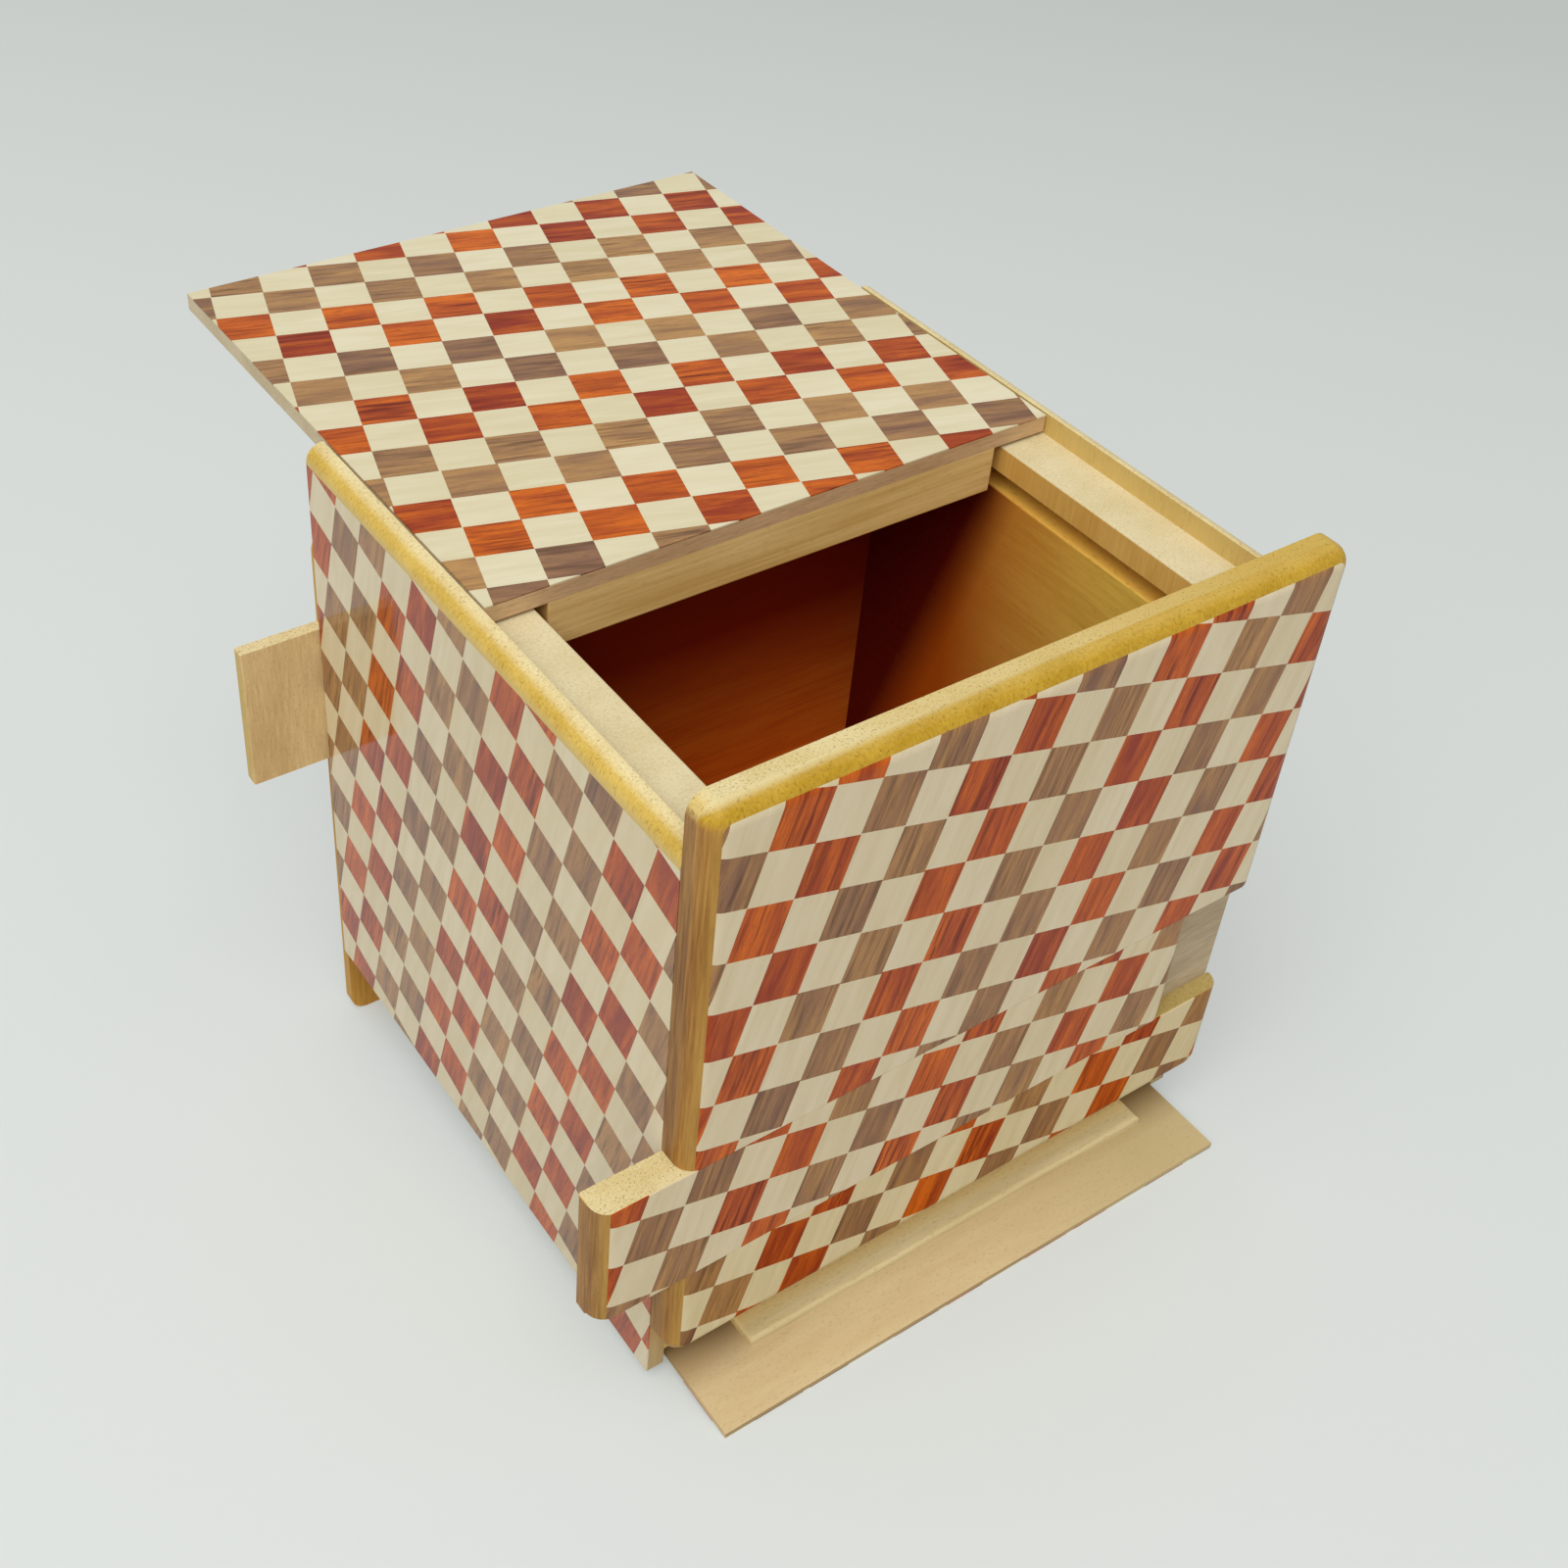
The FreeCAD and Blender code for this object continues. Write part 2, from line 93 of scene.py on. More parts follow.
# Where the sheet lies on each face: its right and up as seen from outside, the turn of the grain
# clockwise from right, one cell corner in mm that starts a pair of padauk rows, a tint that paints
# warmer light onto the upright faces and shade onto the lower strip, and what else differs from the sheet.
checkFaces = {
    "lid": {"pieces": ["lid_veneer"], "right": (1, 0, 0), "up": (0, 1, 0),
            "turn": 16.2, "corner": (-10.08, 55.03, 0), "spread": 0.75},
    "front upper": {"pieces": ["front_upper_veneer"], "right": (1, 0, 0), "up": (0, 0, 1),
                    "turn": 106.0, "corner": (-7.99, 0, 89.24), "paintedLightTint": (1.03, 0.95, 0.935)},
    "front key": {"pieces": ["front_key_veneer"], "right": (1, 0, 0), "up": (0, 0, 1),
                  "turn": 106.0, "corner": (-1.02, 0, 45.32), "paintedLightTint": (1.03, 0.95, 0.92), "gloss": 0.12},
    "front lower": {"pieces": ["front_lower_veneer"], "right": (1, 0, 0), "up": (0, 0, 1),
                    "turn": 106.0, "corner": (8.87, 0, 28.33), "paintedLightTint": (1.02, 0.92, 0.80), "gloss": 0.02},
    "left": {"pieces": ["left_veneer"], "right": (0, -1, 0), "up": (0, 0, 1),
             "turn": 106.0, "corner": (0, -5.77, 50.69), "paintedLightTint": (1.03, 0.96, 0.92),
             "cell": (9.55, 8.43), "coat": 0.75, "gloss": 0.0},
    "right": {"pieces": ["right_veneer"], "right": (0, 1, 0), "up": (0, 0, 1),
              "turn": 106.0, "corner": (0, 4.2, 57.3), "paintedLightTint": (1.03, 0.96, 0.92),
              "coat": 0.75, "gloss": 0.0},
    "back": {"pieces": ["back_upper_veneer", "back_lower_veneer"], "right": (-1, 0, 0), "up": (0, 0, 1),
             "turn": 106.0, "corner": (6.4, 0, 42.0), "paintedLightTint": (1.03, 0.95, 0.93)},
    "back key": {"pieces": ["back_key_veneer"], "right": (-1, 0, 0), "up": (0, 0, 1),
                 "turn": 106.0, "corner": (-9.5, 0, 42.0), "paintedLightTint": (1.03, 0.95, 0.93)},
    "underside": {"pieces": ["bottom_veneer"], "right": (1, 0, 0), "up": (0, -1, 0),
                  "turn": 16.2, "corner": (3.1, -18.0, 0)},
}


def checkMarquetry(faceName, face, seed):
    sheet = checkSheet
    material, tree = newMaterial("check marquetry " + faceName)
    turn = math.radians(face["turn"])
    cellLength, cellWidth = face.get("cell", sheet["cell"])
    right, up = Vector(face["right"]), Vector(face["up"])
    along = (right * math.cos(turn) - up * math.sin(turn)) / (cellLength * mm)
    across = (right * -math.sin(turn) - up * math.cos(turn)) / (cellWidth * mm)
    place = addNode(tree, "TexCoord", {})
    local = addNode(tree, "VectorMath", {0: place.outputs["Object"], 1: Vector(face["corner"]) * mm},
                    operation="SUBTRACT")
    v = addNode(tree, "VectorMath", {0: local, 1: across}, operation="DOT_PRODUCT").outputs["Value"]
    row = addNode(tree, "Math", {0: v}, operation="FLOOR")
    rowSeed = addNode(tree, "Math", {0: row, 1: seed + sheet["rowSeed"]}, operation="ADD")
    rowDraw = addNode(tree, "TexWhiteNoise", {"W": rowSeed}, noise_dimensions="1D")
    wander = addNode(tree, "MapRange", {0: rowDraw, 3: -sheet["stripWander"], 4: sheet["stripWander"]})
    u = addNode(tree, "VectorMath", {0: local, 1: along}, operation="DOT_PRODUCT").outputs["Value"]
    u = addNode(tree, "Math", {0: u, 1: wander}, operation="ADD")
    column = addNode(tree, "Math", {0: u}, operation="FLOOR")
    # which wood a cell is: every second one is cream
    both = addNode(tree, "Math", {0: column, 1: row}, operation="ADD")
    parity = addNode(tree, "Math", {0: both, 1: 2}, operation="FLOORED_MODULO")
    isCream = addNode(tree, "Math", {0: parity, 1: 0.5}, operation="GREATER_THAN")
    turnRow = addNode(tree, "Math", {0: row, 1: 2 * sheet["rowsAlike"]}, operation="FLOORED_MODULO")
    isWalnut = addNode(tree, "Math", {0: turnRow, 1: sheet["rowsAlike"] - 0.5}, operation="GREATER_THAN")
    # draws for each cell, so that no two match
    cell = addNode(tree, "CombineXYZ", {0: column, 1: row, 2: seed + sheet["cellSeed"]})
    draw = addNode(tree, "TexWhiteNoise", {"Vector": cell}, noise_dimensions="3D")
    toneDraw, depthDraw, lineDraw = addNode(tree, "SeparateColor", {0: draw.outputs["Color"]}).outputs
    depth = addNode(tree, "Math", {0: depthDraw, 1: sheet["cellDepth"]}, operation="MULTIPLY")
    # bands, lines and pores, all long in the rod's direction
    where = addNode(tree, "CombineXYZ", {0: u, 1: v, 2: depth})
    grain = {}
    for layer, (length, wide, detail, wobble) in sheet["grain"].items():
        at = addNode(tree, "VectorMath", {0: where, 1: (cellLength / length, cellWidth / wide, 1)},
                     operation="MULTIPLY")
        grain[layer] = addNode(tree, "TexNoise", {"Vector": at, "Scale": 1.0, "Detail": detail,
                                                  "Roughness": sheet["fineness"], "Distortion": wobble})
    weakest, strongest = sheet["lineStrength"]
    lineStrength = addNode(tree, "MapRange", {0: lineDraw, 3: weakest, 4: strongest})
    start, full = sheet["lineStart"]
    lines = addNode(tree, "MapRange", {0: grain["streak"], 1: start, 2: full, 3: 0.0, 4: lineStrength})
    start, full = sheet["poreStart"]
    pores = addNode(tree, "MapRange", {0: grain["pore"], 1: start, 2: full, 3: 0.0,
                                       4: sheet["poreStrength"]})
    darker = addNode(tree, "Math", {0: lines, 1: pores}, operation="MAXIMUM")
    low, high = noiseRange
    spread = face.get("spread", sheet["spread"])
    darkBand, lightBand = [end - spread / 2 for end in sheet["bandTone"]]
    bands = addNode(tree, "MapRange", {0: grain["band"], 1: low, 2: high, 3: darkBand, 4: lightBand})
    tone = addNode(tree, "Math", {0: toneDraw, 1: spread, 2: bands},
                   operation="MULTIPLY_ADD", use_clamp=True)
    # painted light: upright faces warmer than the lid, the lower strip darker as in shade
    paintedLightTint = face.get("paintedLightTint", (1, 1, 1)) + (1,)
    woods = {}
    for wood, (*hexColours, lineShare) in sheet["woods"].items():
        dark, pale, lineColour = [[c * t for c, t in zip(toLinear(h), paintedLightTint)] for h in hexColours]
        mark = addNode(tree, "Math", {0: darker, 1: lineShare}, operation="MULTIPLY")
        body = addNode(tree, "Mix", {0: tone, 6: dark, 7: pale}, data_type="RGBA")
        woods[wood] = addNode(tree, "Mix", {0: mark, 6: body, 7: lineColour}, data_type="RGBA")
    coloured = addNode(tree, "Mix", {0: isWalnut, 6: woods["padauk"], 7: woods["walnut"]}, data_type="RGBA")
    colour = addNode(tree, "Mix", {0: isCream, 6: coloured, 7: woods["cream"]}, data_type="RGBA")
    smooth, coarse = sheet["roughness"]
    rough = addNode(tree, "MapRange", {0: grain["streak"], 1: low, 2: high, 3: smooth, 4: coarse})
    strength, deep = sheet["bump"]
    relief = addNode(tree, "Bump", {"Height": grain["pore"], "Strength": strength, "Distance": deep * mm})
    shader = addNode(tree, "BsdfPrincipled", {
        "Base Color": colour, "Roughness": rough, "Normal": relief, "IOR": sheet["ior"],
        "Specular IOR Level": face.get("gloss", sheet["gloss"]),
        "Coat Weight": face.get("coat", 0.0), "Coat Roughness": sheet["coatRoughness"]})
    addNode(tree, "OutputMaterial", {"Surface": shader})
    return material


for seed, (faceName, face) in enumerate(checkFaces.items()):
    dress(checkMarquetry(faceName, face, seed), face["pieces"])
print("marquetry laid on", len(checkFaces), "faces")

# Plain boards. Each has a dark and a light colour for faces that look along x, y and z, and
# another pair where an edge is rounded over. The grain runs along x, y or z, numbered from 0. Faces
# across it show end grain, with small dark pores that are drawn coarser than real ones to show at
# all, and faces along it show long fibres. Sizes are in mm, wide and long.
boards = {
    # bitter wood with a yellow end grain, rounded over and lacquered with the veneer
    "nigaki side board, lacquered": {
        "pieces": ["left_panel", "right_panel"], "grain": 2,
        "x": ("#D2B468", "#DABC72"), "y": ("#B89660", "#CDAE78"), "z": ("#DCC386", "#EDDDA8"),
        "round": ("#C8A23C", "#DFBE60"), "pore": "#7C581C", "poreAmount": 0.45,
        "fibre": (0.5, 12.0), "poreSize": (0.36, 2.0), "wobble": 0.2,
        "roughness": (0.36, 0.5), "gloss": 0.3},
    # the front panel's, deeper in colour
    "nigaki face board, lacquered": {
        "pieces": ["front_upper_face"], "grain": 2,
        "stainsAndPaintedLight": [("#E0CE96", (-0.03, 1, 1), 71.4, 73)],    # pale where its top meets the backing
        "x": ("#8C5A22", "#C4924A"), "y": ("#A87A34", "#C2984A"), "z": ("#BF9A3C", "#CFAC52"),
        "round": ("#B28A1C", "#CAA236"), "pore": "#6E4A16", "poreAmount": 0.45,
        "fibre": (0.5, 12.0), "poreSize": (0.36, 2.0), "wobble": 0.2,
        "roughness": (0.36, 0.5), "gloss": 0.2},
    # its lower strip, with painted shade on top: greyer and darker, as its top lies in shade
    "nigaki lower board, lacquered, painted shade": {
        "pieces": ["front_lower_face"], "grain": 2,
        "x": ("#8A5822", "#BE8A42"), "y": ("#A87A34", "#C2984A"), "z": ("#AD9554", "#BDA566"),
        "round": ("#A58836", "#B69848"), "pore": "#6E4A16", "poreAmount": 0.45,
        "fibre": (0.5, 12.0), "poreSize": (0.36, 2.0), "wobble": 0.2,
        "roughness": (0.36, 0.5), "gloss": 0.15},
    # the same wood without its yellow finish: pale and flecked on top, browner at its ends
    "nigaki backing, bare": {
        "pieces": ["front_backing_upper", "front_backing_lower", "front_key_face", "front_key_tongue"],
        "grain": 2,
        "stainsAndPaintedLight": [("#CDAC54", (1, 0, 20), 2567, 2670)],    # yellower along the top to the right
        "x": ("#7C522A", "#B88A52"), "y": ("#A87C36", "#C0984C"), "z": ("#D9C488", "#EADBAA"),
        "round": ("#D2B468", "#E2C880"), "pore": "#7E5E2C", "poreAmount": 0.7,
        "fibre": (0.45, 10.0), "poreSize": (0.36, 1.6), "wobble": 0.2,
        "roughness": (0.5, 0.62), "gloss": 0.18},
    # lacquered again, to a deeper gold
    "nigaki back board, lacquered": {
        "pieces": ["back_backing_upper", "back_backing_lower",
                   "back_upper_face", "back_lower_face", "back_key_face"], "grain": 2,
        "x": ("#B47E26", "#D09E3A"), "y": ("#C48830", "#E4A846"), "z": ("#DCC488", "#EDDDA8"),
        "round": ("#C69C34", "#DDB852"), "pore": "#6E4A16", "poreAmount": 0.5,
        "fibre": (0.5, 12.0), "poreSize": (0.36, 2.0), "wobble": 0.2,
        "roughness": (0.4, 0.55), "gloss": 0.28},
    # the back key's bare tab: pale tan, finely flecked
    "linden tab, bare": {
        "pieces": ["back_key_tongue"], "grain": 2,
        "x": ("#C8A860", "#DCBE7C"), "y": ("#D0AE78", "#E6C992"), "z": ("#DCC890", "#ECDCAC"),
        "round": ("#D6BC7C", "#E6D096"), "pore": "#927040", "poreAmount": 1.0,
        "fibre": (0.35, 5.0), "poreSize": (0.24, 0.9), "wobble": 0.3,
        "roughness": (0.5, 0.62), "gloss": 0.25},
    # grey-beige with a wavy figure that lies level
    "katsura bridge, bare": {
        "pieces": ["front_backing_bridge", "back_backing_bridge"], "grain": 0,
        "x": ("#A88A60", "#BCA078"), "y": ("#AE9878", "#CCB896"), "z": ("#BCA078", "#CCB28A"),
        "round": ("#BCA078", "#CCB28A"), "pore": "#8E7450", "poreAmount": 0.5,
        "fibre": (0.9, 9.0), "poreSize": (0.3, 1.8), "wobble": 1.4,
        "roughness": (0.5, 0.65), "gloss": 0.25},
    # pale cream end grain on top, golden sides
    "linden rail, bare": {
        "pieces": ["top_rail_left", "top_rail_right", "bottom_rail_left", "bottom_rail_right"], "grain": 2,
        "x": ("#D8A650", "#E8BE68"), "y": ("#D0A254", "#E0B86C"), "z": ("#D9C898", "#E7D9B0"),
        "round": ("#D9C898", "#E7D9B0"), "pore": "#B49A66", "poreAmount": 0.4,
        "fibre": (0.5, 9.0), "poreSize": (0.3, 1.2), "wobble": 0.2,
        "roughness": (0.5, 0.65), "gloss": 0.25},
    # pale pinkish tan and nearly plain, darker to the right, with painted shadow under the front panel
    "linden plate, bare": {
        "pieces": ["bottom_plate", "bottom_core"], "grain": 0,
        # darker towards the right, then painted shadow under the front panel's bottom edge
        "stainsAndPaintedLight": [("#CAB584", (1, 0, 0), 5, 42), ("#6E4A1C", (0, 1, 0), -65.5, -53)],
        "x": ("#CDB080", "#DCC294"), "y": ("#A88C5F", "#BEA071"), "z": ("#D6BC8C", "#DDC798"),
        "round": ("#C9AC74", "#D8BE88"), "pore": "#A8875A", "poreAmount": 0.3,
        "fibre": (1.8, 14.0), "poreSize": (0.3, 0.8), "wobble": 0.4,
        "roughness": (0.5, 0.65), "gloss": 0.25},
    # straw coloured with long fibres, painted paler under the front panel against its shadow
    "linden lip, bare": {
        "pieces": ["bottom_lip"], "grain": 0,
        # painted light, lifting the front panel's shadow on the lip
        "stainsAndPaintedLight": [("#F8DA94", (0, 1, 0), -60.6, -58)],
        "x": ("#CDB585", "#DDC99B"), "y": ("#D0BC89", "#E0CFA4"), "z": ("#D0BA86", "#DECA9A"),
        "round": ("#CEB884", "#DCC898"), "pore": "#9A7F4C", "poreAmount": 0.3,
        "fibre": (0.8, 16.0), "poreSize": (0.3, 1.0), "wobble": 0.2,
        "roughness": (0.5, 0.65), "gloss": 0.25},
    # pinkish tan on the front edge, with fine waves
    "katsura lid board, bare": {
        "pieces": ["lid_plate"], "grain": 0,
        "x": ("#C8B490", "#DCCCAA"), "y": ("#BC9A72", "#DAB88E"), "z": ("#B89260", "#CCA876"),
        "round": ("#B89260", "#CCA876"), "pore": "#7E5836", "poreAmount": 0.6,
        "fibre": (0.4, 5.0), "poreSize": (0.26, 1.8), "wobble": 0.9,
        "roughness": (0.5, 0.65), "gloss": 0.25},
    # golden tan with long fibres
    "linden lid block, bare": {
        "pieces": ["lid_block"], "grain": 0,
        "x": ("#C09858", "#D6B270"), "y": ("#D4AE66", "#EED08E"), "z": ("#B8924E", "#D2AE6E"),
        "round": ("#B8924E", "#D2AE6E"), "pore": "#82602C", "poreAmount": 0.5,
        "fibre": (0.9, 34.0), "poreSize": (0.3, 2.4), "wobble": 0.4,
        "roughness": (0.5, 0.65), "gloss": 0.25},
    # oiled inside: orange brown, with the lid's shade painted on, deepening to dark red towards the top
    "cherry end wall, oiled, painted shade": {
        "pieces": ["back_wall", "cavity_floor"], "grain": 0,
        # painted shade of the lid, deepening upwards
        "stainsAndPaintedLight": [("#7A1A03", (0, 0, 1), 28, 68)],
        "x": ("#D46C18", "#EC8C2C"), "y": ("#D46C18", "#EC8C2C"), "z": ("#D46C18", "#EC8C2C"),
        "round": ("#D46C18", "#EC8C2C"), "pore": "#7A3810", "poreAmount": 0.35,
        "fibre": (0.7, 16.0), "poreSize": (0.3, 1.6), "wobble": 0.3,
        "roughness": (0.5, 0.65), "gloss": 0.25},
    # golden, with the lid's shadow painted on: orange towards the middle and deep red at the back
    "cherry side wall, oiled, painted shade and light": {
        "pieces": ["left_wall", "right_wall", "front_wall"], "grain": 1,
        # painted shade of the lid: orange, then deep red towards the back
        "stainsAndPaintedLight": [("#C15F0B", (0, 1, -0.07), -36.7, 5.7), ("#610802", (0, 1, 0.32), 31.6, 41.4),
                   ("#FFC859", (1, 0, 1), 155.7, 156.4)],    # painted light on the right wall's shaded top
        "x": ("#DCB64C", "#F2D060"), "y": ("#DCB64C", "#F2D060"), "z": ("#DCB64C", "#F2D060"),
        "round": ("#DCB64C", "#F2D060"), "pore": "#8E5A1C", "poreAmount": 0.4,
        "fibre": (0.9, 16.0), "poreSize": (0.3, 1.8), "wobble": 0.5,
        "roughness": (0.5, 0.65), "gloss": 0.25},
    # hidden guides: plain brown, finely flecked
    "beech strip, bare": {
        "pieces": ["front_keepers", "back_keepers", "front_key_keeper", "back_key_keeper",
                   "front_key_tooth", "back_key_tooth", "front_lock_stop", "back_lock_stop",
                   "lid_stops", "bottom_stops",
                   "front_runner_left", "front_runner_right", "back_runner_left", "back_runner_right",
                   "lid_tongue_left", "lid_tongue_right", "bottom_tongue_left", "bottom_tongue_right"],
        "grain": 2,
        "x": ("#BC9560", "#D0AC78"), "y": ("#BC9560", "#D0AC78"), "z": ("#A98250", "#C09A66"),
        "round": ("#BC9560", "#D0AC78"), "pore": "#84602F", "poreAmount": 0.5,
        "fibre": (0.4, 8.0), "poreSize": (0.25, 1.2), "wobble": 0.2,
        "roughness": (0.5, 0.65), "gloss": 0.25},
}

# What all boards share. A facing says how far along its axis, from 0 to 1, a surface has to look
# for those colours to begin and to show fully.
boardRule = {
    "cloud": (9.0, 45.0),           # broad light and dark patches, mm wide and long
    "detail": {"fibre": 3.0, "pore": 1.0, "cloud": 2.0},
    "fineness": 0.55,               # how much the noise's finer layers count
    "toneRange": (0.75, 1.25),      # of fibre and cloud together
    "facingX": (0.4, 0.95), "facingRound": (0.12, 0.5), "facingZ": (0.74, 0.97),
    "poreStart": (0.58, 0.74),      # noise at which a pore begins and is full
    "poreSides": 0.4, "facingPores": (0.05, 0.4),    # upright faces show fewer
    "bump": (0.2, 0.06),            # strength, and depth in mm
    "ior": 1.5,
}


def plainBoard(name, board):
    rule = boardRule
    material, tree = newMaterial(name)
    place = addNode(tree, "TexCoord", {})
    noises = {}
    for layer, (wide, length), wobble in (("fibre", board["fibre"], board["wobble"]),
                                          ("pore", board["poreSize"], 0.0), ("cloud", rule["cloud"], 0.0)):
        stretch = [1 / (wide * mm)] * 3
        stretch[board["grain"]] = 1 / (length * mm)
        at = addNode(tree, "Mapping", {"Vector": place.outputs["Object"], "Scale": stretch})
        noises[layer] = addNode(tree, "TexNoise", {
            "Vector": at, "Scale": 1.0, "Detail": rule["detail"][layer],
            "Roughness": rule["fineness"], "Distortion": wobble})
    both = addNode(tree, "Math", {0: noises["fibre"], 1: noises["cloud"]}, operation="ADD")
    start, full = rule["toneRange"]
    tone = addNode(tree, "MapRange", {0: both, 1: start, 2: full})
    # colours by the way the surface looks, along y to begin with
    facing = addNode(tree, "VectorMath", {0: place.outputs["Normal"]}, operation="ABSOLUTE")
    facing = addNode(tree, "SeparateXYZ", {0: facing})
    toX, toZ = facing.outputs["X"], facing.outputs["Z"]
    dark, pale = [toLinear(h) for h in board["y"]]
    colour = addNode(tree, "Mix", {0: tone, 6: dark, 7: pale}, data_type="RGBA")
    for look, towards, (start, full) in (("x", toX, rule["facingX"]), ("round", toZ, rule["facingRound"]),
                                         ("z", toZ, rule["facingZ"])):
        dark, pale = [toLinear(h) for h in board[look]]
        shade = addNode(tree, "Mix", {0: tone, 6: dark, 7: pale}, data_type="RGBA")
        share = addNode(tree, "MapRange", {0: towards, 1: start, 2: full})
        colour = addNode(tree, "Mix", {0: share, 6: colour, 7: shade}, data_type="RGBA")
    # a stain, or painted light and shade: its colour, direction, and the stretch in mm over which it
    # deepens
    for stainAndLightColour, way, start, full in board.get("stainsAndPaintedLight", []):
        along = addNode(tree, "VectorMath", {0: place.outputs["Object"], 1: way},
                        operation="DOT_PRODUCT").outputs["Value"]
        stainAndLightShare = addNode(tree, "MapRange", {0: along, 1: start * mm, 2: full * mm})
        colour = addNode(tree, "Mix", {0: stainAndLightShare, 6: colour, 7: toLinear(stainAndLightColour)}, data_type="RGBA")
    start, full = rule["facingPores"]
    poreMost = addNode(tree, "MapRange", {
        0: toZ, 1: start, 2: full, 3: rule["poreSides"] * board["poreAmount"], 4: board["poreAmount"]})
    start, full = rule["poreStart"]
    poreDark = addNode(tree, "MapRange", {0: noises["pore"], 1: start, 2: full, 3: 0.0, 4: poreMost})
    colour = addNode(tree, "Mix", {0: poreDark, 6: colour, 7: toLinear(board["pore"])}, data_type="RGBA")
    low, high = noiseRange
    smooth, coarse = board["roughness"]
    rough = addNode(tree, "MapRange", {0: noises["fibre"], 1: low, 2: high, 3: smooth, 4: coarse})
    strength, deep = rule["bump"]
    relief = addNode(tree, "Bump", {"Height": noises["pore"], "Strength": strength, "Distance": deep * mm})
    shader = addNode(tree, "BsdfPrincipled", {
        "Base Color": colour, "Roughness": rough, "Normal": relief, "IOR": rule["ior"],
        "Specular IOR Level": board["gloss"]})
    addNode(tree, "OutputMaterial", {"Surface": shader})
    return material


for boardName, board in boards.items():
    dress(plainBoard(boardName, board), board["pieces"])
print("plain boards finished:", len(boards))

# The box stands on the bottom panel's front edge and the lowered back panel, so the floor is
# laid through those two edges and tilts against the box's own frame.
floorPlan = {
    "half": 4.0,                     # m
    "sheet": "#BCC0BD", "roughness": 0.9, "gloss": 0.2,
    "glow": "#DFE5E3", "glowLeft": 0.33, "glowRight": 0.18,
    "across": (-0.15, 0.77),         # m along x, from the left glow to the right one
    "glowFar": 0.28, "far": (1.05, 2.8),    # m from the box, where the paper pales into the room
}
frontFoot = Vector((0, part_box("bottom_veneer")[0].y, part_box("bottom_veneer")[0].z))
backFoot = Vector((0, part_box("back_backing_upper")[0].y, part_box("back_backing_upper")[0].z))
fall = math.atan2(backFoot.z - frontFoot.z, backFoot.y - frontFoot.y)

grid = bmesh.new()
bmesh.ops.create_grid(grid, x_segments=1, y_segments=1, size=floorPlan["half"])
lay = Matrix.Translation(frontFoot) @ Matrix.Rotation(fall, 4, "X")
bmesh.ops.transform(grid, matrix=lay, verts=grid.verts)
floorMesh = bpy.data.meshes.new("floor")
grid.to_mesh(floorMesh)
grid.free()
floor = bpy.data.objects.new("floor", floorMesh)
bpy.context.scene.collection.objects.link(floor)


# 1 for what the camera sees, by itself, in reflections or through something clear, and 0 for light
def seenRays(tree):
    path = addNode(tree, "LightPath", {})
    seen = addNode(tree, "Math", {0: path.outputs["Is Camera Ray"], 1: path.outputs["Is Glossy Ray"]},
                   operation="MAXIMUM")
    return addNode(tree, "Math", {0: seen, 1: path.outputs["Is Transmission Ray"]}, operation="MAXIMUM")


# Matt paper that glows a little for the camera and in reflections, so that its shadows stay soft.
paper, paperTree = newMaterial("matt paper")
seen = seenRays(paperTree)
paperPlace = addNode(paperTree, "TexCoord", {})
fromLeft = addNode(paperTree, "SeparateXYZ", {0: paperPlace.outputs["Object"]}).outputs["X"]
left, right = floorPlan["across"]
fade = addNode(paperTree, "MapRange", {0: fromLeft, 1: left, 2: right, 3: floorPlan["glowLeft"],
                                       4: floorPlan["glowRight"]})
away = addNode(paperTree, "VectorMath", {0: paperPlace.outputs["Object"]},
               operation="LENGTH").outputs["Value"]
near, far = floorPlan["far"]
farGlow = addNode(paperTree, "MapRange", {0: away, 1: near, 2: far, 3: 0.0, 4: floorPlan["glowFar"]})
glow = addNode(paperTree, "Math", {0: fade, 1: farGlow}, operation="ADD")
glow = addNode(paperTree, "Math", {0: seen, 1: glow}, operation="MULTIPLY")
paperShader = addNode(paperTree, "BsdfPrincipled", {
    "Base Color": toLinear(floorPlan["sheet"]), "Roughness": floorPlan["roughness"],
    "Specular IOR Level": floorPlan["gloss"],
    "Emission Color": toLinear(floorPlan["glow"]), "Emission Strength": glow})
addNode(paperTree, "OutputMaterial", {"Surface": paperShader})
floorMesh.materials.append(paper)
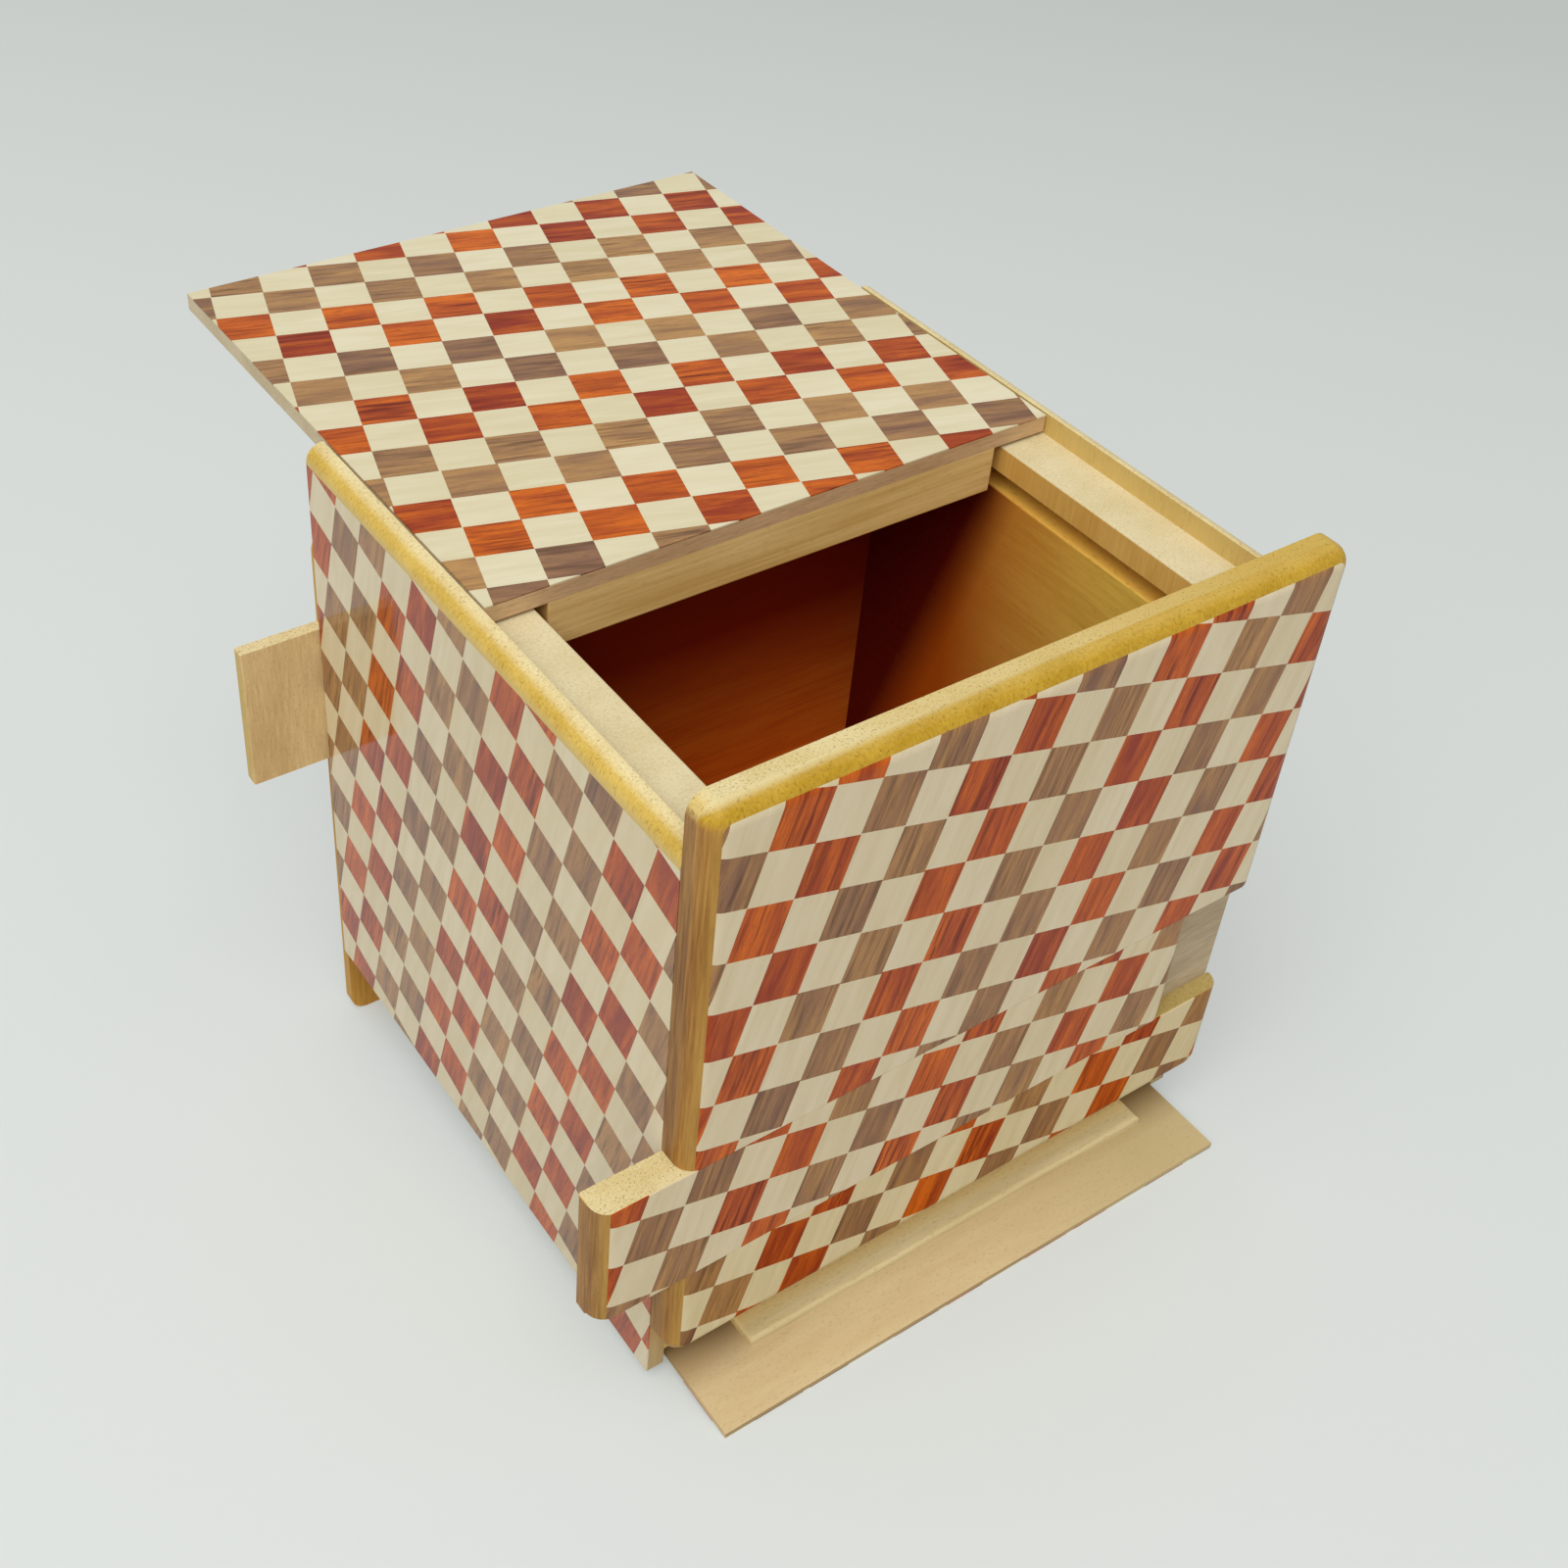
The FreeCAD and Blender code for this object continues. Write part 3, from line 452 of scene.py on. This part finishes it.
print("floor falls", round(math.degrees(-fall), 2), "degrees to the back")

# Soft studio light: a bright room and one wide softbox, high on the left and in front. The room
# looks paler than it lights, to go with the floor where its far edge is in view.
light = {"roomColour": "#FFFFFF", "room": 0.44, "roomSeen": 0.62,
         "boxSide": 2.2, "boxAt": (-1.085, -0.85, 2.17), "boxPower": 53.0}    # m and W
world = bpy.data.worlds.new("studio")
bpy.context.scene.world = world
world.use_nodes = True
worldTree = world.node_tree
worldTree.nodes.clear()
roomStrength = addNode(worldTree, "MapRange", {0: seenRays(worldTree), 3: light["room"],
                                               4: light["roomSeen"]})
room = addNode(worldTree, "Background", {"Color": toLinear(light["roomColour"]), "Strength": roomStrength})
addNode(worldTree, "OutputWorld", {"Surface": room})
lamp = bpy.data.lights.new("softbox", "AREA")
lamp.size = light["boxSide"]
lamp.energy = light["boxPower"]
softbox = bpy.data.objects.new("softbox", lamp)
softbox.location = light["boxAt"]
softbox.rotation_euler = Vector(light["boxAt"]).to_track_quat("Z", "Y").to_euler()
bpy.context.scene.collection.objects.link(softbox)

# Camera, from the vanishing lines of the lid and the panels; mm and degrees in the box's frame.
shot = {"at": (-173.51, -209.28, 303.07), "yaw": 36.31, "pitch": -38.56, "roll": 3.80,
        "lens": 45.97, "sensor": 36.0, "shift": (0.0605, -0.0730), "nearest": 10.0}
view = bpy.data.cameras.new("camera")
view.lens = shot["lens"]
view.sensor_width = shot["sensor"]
view.shift_x, view.shift_y = shot["shift"]
view.clip_start = shot["nearest"] * mm
camera = bpy.data.objects.new("camera", view)
aim = Matrix.Rotation(math.radians(-shot["yaw"]), 4, "Z")
aim = aim @ Matrix.Rotation(math.radians(90 + shot["pitch"]), 4, "X")    # unturned, it looks straight down
aim = aim @ Matrix.Rotation(math.radians(shot["roll"]), 4, "Z")
camera.matrix_world = Matrix.Translation(Vector(shot["at"]) * mm) @ aim
bpy.context.scene.collection.objects.link(camera)
bpy.context.scene.camera = camera
bpy.context.scene.view_settings.view_transform = "Standard"
print("light and camera set")
